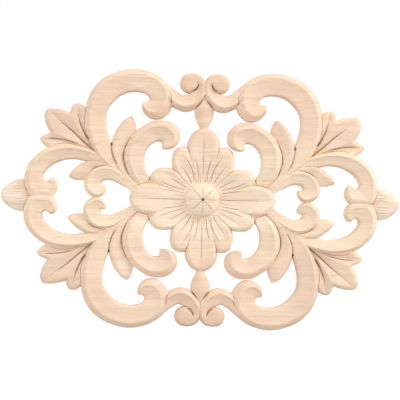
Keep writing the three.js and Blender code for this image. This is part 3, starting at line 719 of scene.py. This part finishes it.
    def combined(self, objects, operation):
        """The first object's mesh with the others added to it or cut out of it."""
        whole, others = objects[0], objects[1:]
        for other in others:
            step = whole.modifiers.new(other.name, "BOOLEAN")
            step.object = other
            step.operation = operation
            step.solver = "MANIFOLD"
        ready = whole.evaluated_get(bpy.context.evaluated_depsgraph_get())
        mesh = bpy.data.meshes.new_from_object(ready)
        bm = bmesh.new()
        bm.from_mesh(mesh)
        bpy.data.meshes.remove(mesh)
        if not bm.faces:
            raise RuntimeError(f"{whole.name} came out empty")
        whole.modifiers.clear()
        whole.data = in_order(bm, whole.name)
        bm.free()
        return whole

    def carve(self):
        self.flower()
        self.boss_and_eye()
        for name, rib in RIBS.items():
            self.rib(name, **rib)
        self.spray()
        quarter = self.combined(self.parts, "UNION")
        surface = BVHTree.FromObject(quarter, bpy.context.evaluated_depsgraph_get())
        self.fine_cuts(surface)
        quarter = self.combined([quarter, *self.cuts], "DIFFERENCE")
        bm = bmesh.new()
        bm.from_mesh(quarter.data)
        for axis in (Vector((1, 0, 0)), Vector((0, 0, 1))):
            everything = [*bm.verts, *bm.edges, *bm.faces]
            bmesh.ops.bisect_plane(
                bm, geom=everything, dist=PLANE_MERGE, plane_co=(0, 0, 0), plane_no=axis,
                clear_inner=True)
        for vert in bm.verts:
            for axis in (0, 2):
                if abs(vert.co[axis]) < SNAP:
                    vert.co[axis] = 0
        bmesh.ops.remove_doubles(bm, verts=bm.verts, dist=PLANE_MERGE)
        for axis in ("X", "Z"):
            everything = [*bm.verts, *bm.edges, *bm.faces]
            bmesh.ops.mirror(
                bm, geom=everything, matrix=Matrix.Identity(4), merge_dist=MIRROR_MERGE, axis=axis)
        bmesh.ops.remove_doubles(bm, verts=bm.verts, dist=PLANE_MERGE)
        mesh = in_order(bm, "onlay")
        bm.clear()
        bm.from_mesh(mesh)
        bpy.data.meshes.remove(mesh)
        back = {face for face in bm.faces if on_back(face)}
        bmesh.ops.dissolve_limit(
            bm, angle_limit=math.radians(0.5), use_dissolve_boundaries=False,
            verts=[vert for vert in bm.verts if not back.isdisjoint(vert.link_faces)],
            edges=[edge for edge in bm.edges if not back.isdisjoint(edge.link_faces)],
            delimit=set())
        for flat, method in ((True, "EAR_CLIP"), (False, "BEAUTY")):
            many_sided = [face for face in bm.faces if len(face.verts) > 4 and flat == on_back(face)]
            bmesh.ops.triangulate(bm, ngon_method=method, faces=many_sided)
        bmesh.ops.recalc_face_normals(bm, faces=bm.faces)
        mesh = in_order(bm, "onlay")
        bm.free()
        for part in (*self.parts, *self.cuts):
            bpy.data.objects.remove(part)
        mesh.shade_smooth()
        mesh.set_sharp_from_angle(angle=math.radians(40))
        self.paint_cut_shade(mesh)
        onlay = bpy.data.objects.new("onlay", mesh)
        bpy.context.scene.collection.objects.link(onlay)
        return onlay

    def paint_cut_shade(self, mesh):
        """Mark the bottoms of the cuts, where shade is painted into the wood's colour, in an attribute
        of the mesh.
        """
        tree = KDTree(len(self.painted_shade))
        for index, (point, _) in enumerate(self.painted_shade):
            tree.insert(point, index)
        tree.balance()
        attribute = mesh.attributes.new("cut", "FLOAT", "POINT")
        for vert in mesh.vertices:
            _, index, away = tree.find((abs(vert.co.x), vert.co.y, abs(vert.co.z)))
            if away < CUT_SHADE_REACH:
                attribute.data[vert.index].value = self.painted_shade[index][1]


class Number:
    """A socket's value in a finish; sums with it add Math nodes."""

    def __init__(self, finish, socket):
        self.finish = finish
        self.socket = socket

    def math(self, operation, *values, clamp=False):
        return self.finish.node(
            "ShaderNodeMath", {"operation": operation, "use_clamp": clamp},
            dict(enumerate((self, *values))))

    def __add__(self, other):
        return self.math("ADD", other)

    __radd__ = __add__

    def __sub__(self, other):
        return self.math("SUBTRACT", other)

    def __rsub__(self, other):
        return self.finish.node("ShaderNodeMath", {"operation": "SUBTRACT"}, {0: other, 1: self})

    def __mul__(self, other):
        return self.math("MULTIPLY", other)

    __rmul__ = __mul__

    def __abs__(self):
        return self.math("ABSOLUTE")

    def between(self, low, high):
        """0 at or below low and 1 at or above high, or the other way round, eased."""
        return self.finish.node(
            "ShaderNodeMapRange", {"interpolation_type": "SMOOTHSTEP"},
            {"Value": self, "From Min": low, "From Max": high})


class Finish:
    """A material and the nodes that are added to it."""

    def __init__(self, name):
        self.material = bpy.data.materials.new(name)
        self.material.use_nodes = True
        self.nodes = self.material.node_tree.nodes
        self.links = self.material.node_tree.links
        self.shader = self.nodes["Principled BSDF"]

    def put(self, socket, value):
        if isinstance(value, Number):
            self.links.new(value.socket, socket)
        else:
            socket.default_value = value

    def node(self, kind, settings=None, inputs=None, output=0):
        node = self.nodes.new(kind)
        for key, value in (settings or {}).items():
            setattr(node, key, value)
        for key, value in (inputs or {}).items():
            self.put(node.inputs[key], value)
        return Number(self, node.outputs[output])

    def mix(self, share, low, high, blend="MIX"):
        """A colour between two colours."""
        return self.node(
            "ShaderNodeMix", {"data_type": "RGBA", "blend_type": blend},
            {0: share, 6: low, 7: high}, output=2)

    def noise(self, place, stretch, detail=2.0, rough=0.5):
        """Noise whose scale is different along each axis, in waves per metre."""
        stretched = self.node(
            "ShaderNodeVectorMath", {"operation": "MULTIPLY"}, {0: place, 1: stretch})
        return self.node(
            "ShaderNodeTexNoise", {}, {"Vector": stretched, "Scale": 1.0, "Detail": detail,
                                       "Roughness": rough})


def bare_wood(wood, square):
    """Pale sanded wood, glued up from boards that lie along the onlay, with shade painted into the
    bottoms of its cuts.
    """
    finish = Finish("pale_wood")
    place = finish.node("ShaderNodeTexCoord", output="Object")
    across, _, up = (
        finish.node("ShaderNodeSeparateXYZ", {}, {0: place}, output=axis) for axis in "XYZ")
    # The marks at the bottoms of the cuts and the pit, where shade is painted
    cut = finish.node("ShaderNodeAttribute", {"attribute_name": "cut"}, output="Fac")

    # Broad tones: pinker boards above and below, patches along the grain, pale yellow wood at the
    # flower and the stems beside it, the palest at the two ends, and the warmest at the top curls
    patches = finish.noise(place, (18, 40, 46), detail=1)
    cloud = finish.noise(place, (42, 60, 110), detail=1)
    outer = abs(up).between(0.034, 0.044)
    pink_share = (patches.between(0.36, 0.66) * 0.55 + outer * 0.5) * 0.85
    middle = finish.node("ShaderNodeVectorMath", {"operation": "LENGTH"}, {0: place}, output="Value")
    petals = abs(across).between(0.056, 0.05) * abs(up).between(0.05, 0.012)
    stems = abs(across).between(0.1, 0.08) * abs(up).between(0.042, 0.02)
    gold_share = petals * 0.5 + stems * 0.4 + middle.between(0.0135, 0.0125) * 0.2
    cream_share = abs(across).between(0.127, 0.139) * 0.8
    knobs = abs(up).between(0.078, 0.083) * abs(across).between(0.022, 0.017)

    # Grain: growth rings cut at a slant, which show most in the upper boards, soft bands, crisp
    # streaks a little under a millimetre high, and short dark pores
    rings = finish.noise(place, (9, 30, 62), detail=1) * 9 + up * 60
    rings = abs(rings.math("FRACT") - 0.5).between(0.13, 0.02)
    rings = rings * finish.noise(place, (20, 50, 90), detail=1).between(0.46, 0.6)
    rings = rings * up.between(-0.1, 0.05)
    bands = finish.noise(place, (12, 60, 240), detail=2)
    streaks = finish.noise(place, (26, 200, 760), detail=3, rough=0.6)
    fibres = finish.noise(place, (110, 900, 2600), detail=2)
    pores = finish.noise(place, (150, 400, 1500), detail=1).between(0.68, 0.76)

    # Glued joints between the boards, and a board of coarser grain at the top left
    boards = up * (1 / wood.board_width) + 9.97
    seam = abs(boards.math("FRACT") - 0.5).between(0.488, 0.4985)
    seam = seam * finish.noise(place, (14, 1, 40)).between(0.38, 0.56)
    beyond = across.between(-68.2 * square, -67.8 * square) * across.between(-36 * square, -50 * square)
    beyond = beyond * up.between(108 * square, 112 * square)

    colour = finish.mix(pink_share, (*wood.pale, 1), (*wood.pink, 1))
    colour = finish.mix(gold_share + beyond * 0.55, colour, (*wood.gold, 1))
    colour = finish.mix(cream_share, colour, (*wood.cream, 1))
    warm = knobs * 0.75 + cloud.between(0.4, 0.66) * 0.16
    colour = finish.mix(warm, colour, (*wood.orange, 1))
    dim = sum(
        abs(across - u * square).between(wide * square, 0.4 * wide * square)
        * abs(up - v * square).between(high * square, 0.4 * high * square) * share
        for u, v, wide, high, share in PATCHES)
    colour = finish.mix(dim, colour, (*wood.shade, 1), "MULTIPLY")
    grain = (*wood.grain, 1)
    colour = finish.mix(bands.between(0.44, 0.64) * (beyond * 0.4 + 0.22), colour, grain)
    colour = finish.mix(streaks.between(0.42, 0.64) * (beyond * 0.3 + 0.26), colour, grain)
    colour = finish.mix(fibres.between(0.42, 0.64) * 0.14, colour, grain)
    colour = finish.mix(seam * 0.45 + pores * 0.35 + rings * 0.4, colour, grain)
    # Painted shade: the bottoms of the cuts and the pit take the dark cut colour
    colour = finish.mix(cut * wood.cut_shade_strength, colour, (*wood.cut, 1))
    finish.put(finish.shader.inputs["Base Color"], colour)
    finish.put(
        finish.shader.inputs["Roughness"], fibres.between(0.3, 0.8) * 0.1 + wood.roughness)
    bump = finish.node(
        "ShaderNodeBump", {}, {"Strength": 0.3, "Distance": 0.0004,
                               "Height": streaks * 0.6 + fibres * 0.5}, output="Normal")
    finish.put(finish.shader.inputs["Normal"], bump)
    finish.shader.inputs["Specular IOR Level"].default_value = 0.3
    return finish.material


class ONLAY_OT_carve(Operator):
    """Carve the onlay and give it its bare wood"""

    bl_idname = "onlay.carve"
    bl_label = "Carve the onlay"

    def execute(self, context):
        carving = Carving(context.scene.onlay_sizes)
        onlay = carving.carve()
        onlay.data.materials.append(bare_wood(context.scene.onlay_wood, carving.square))
        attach(onlay, "root")
        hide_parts("carved_onlay")
        return {"FINISHED"}


class ONLAY_OT_stage(Operator):
    """Set up the floor, the light and the camera"""

    bl_idname = "onlay.stage"
    bl_label = "Set the stage"

    def execute(self, context):
        scene, stage, sizes = context.scene, context.scene.onlay_stage, context.scene.onlay_sizes
        square = sizes.length / 2 / HALF_LENGTH_SQUARES

        # From this far away the picture takes in its width in squares at the height of the edges
        camera = bpy.data.cameras.new("camera")
        camera.lens = stage.lens
        away = PICTURE_WIDTH / 2 * square * stage.lens / (camera.sensor_width / 2) + sizes.edge_height
        seat = bpy.data.objects.new("camera", camera)
        orbit = Matrix.Rotation(-stage.swing, 4, "Z") @ Matrix.Rotation(stage.dip, 4, "X")
        turn = orbit @ Matrix.Rotation(math.pi / 2, 4, "X") @ Matrix.Rotation(stage.roll, 4, "Z")
        aside = turn.to_3x3() @ Vector((PICTURE_SHIFT[0] * square, PICTURE_SHIFT[1] * square, 0))
        seat.matrix_world = Matrix.Translation(orbit @ Vector((0, -away, 0)) + aside) @ turn
        scene.collection.objects.link(seat)
        scene.camera = seat

        for name, power, colour, spot in (
                ("key", stage.key_power, (1, 0.985, 0.965), Vector((2.34, -0.9, 1.65))),
                ("fill", stage.fill_power, (0.98, 0.99, 1), Vector((-2.1, -2.1, 0.3)))):
            light = bpy.data.lights.new(name, "AREA")
            light.energy = power
            light.size = 1.5
            light.color = colour
            lamp = bpy.data.objects.new(name, light)
            aim = spot.to_track_quat("Z", "Y").to_matrix().to_4x4()
            lamp.matrix_world = Matrix.Translation(spot) @ aim
            scene.collection.objects.link(lamp)

        world = bpy.data.worlds.new("studio")
        world.use_nodes = True
        nodes, links = world.node_tree.nodes, world.node_tree.links
        nodes.clear()
        seen = nodes.new("ShaderNodeLightPath")
        mix = nodes.new("ShaderNodeMixShader")
        out = nodes.new("ShaderNodeOutputWorld")
        for slot, colour, power in ((1, (1, 0.99, 0.98, 1), stage.sky), (2, (1, 1, 1, 1), 1.0)):
            light = nodes.new("ShaderNodeBackground")
            light.inputs["Color"].default_value = colour
            light.inputs["Strength"].default_value = power
            links.new(light.outputs[0], mix.inputs[slot])
        links.new(seen.outputs["Is Camera Ray"], mix.inputs[0])
        links.new(mix.outputs[0], out.inputs[0])
        scene.world = world
        scene.view_settings.view_transform = "Standard"

        floor_mesh = bpy.data.meshes.new("floor")
        bm = bmesh.new()
        bmesh.ops.create_grid(bm, x_segments=4, y_segments=4, size=1.4)
        bmesh.ops.translate(bm, verts=bm.verts, vec=(0, 0, -stage.floor_drop))
        bm.to_mesh(floor_mesh)
        bm.free()
        floor = bpy.data.objects.new("floor", floor_mesh)
        paint = Finish("grey_floor")
        paint.shader.inputs["Base Color"].default_value = (0.45, 0.45, 0.45, 1)
        paint.shader.inputs["Roughness"].default_value = 0.8
        floor_mesh.materials.append(paint.material)
        scene.collection.objects.link(floor)
        return {"FINISHED"}


class ONLAY_PT_panel(Panel):
    """Sizes, wood and light of the onlay"""

    bl_idname = "ONLAY_PT_panel"
    bl_label = "Carved onlay"
    bl_space_type = "VIEW_3D"
    bl_region_type = "UI"
    bl_category = "Onlay"

    def draw(self, context):
        scene = context.scene
        for operator, group in (
                (ONLAY_OT_carve, scene.onlay_sizes), (None, scene.onlay_wood),
                (ONLAY_OT_stage, scene.onlay_stage)):
            box = self.layout.box()
            for name in type(group).__annotations__:
                box.prop(group, name)
            if operator:
                box.operator(operator.bl_idname)


CLASSES = (
    SHAPE_PG_onlay, WOOD_PG_onlay, STAGE_PG_onlay, ONLAY_OT_carve, ONLAY_OT_stage, ONLAY_PT_panel)


def register():
    for cls in CLASSES:
        bpy.utils.register_class(cls)
    bpy.types.Scene.onlay_sizes = PointerProperty(type=SHAPE_PG_onlay)
    bpy.types.Scene.onlay_wood = PointerProperty(type=WOOD_PG_onlay)
    bpy.types.Scene.onlay_stage = PointerProperty(type=STAGE_PG_onlay)


def unregister():
    for name in ("onlay_sizes", "onlay_wood", "onlay_stage"):
        delattr(bpy.types.Scene, name)
    for cls in reversed(CLASSES):
        bpy.utils.unregister_class(cls)


def main():
    register()
    bpy.ops.onlay.carve()
    bpy.ops.onlay.stage()


if __name__ == "__main__":
    main()
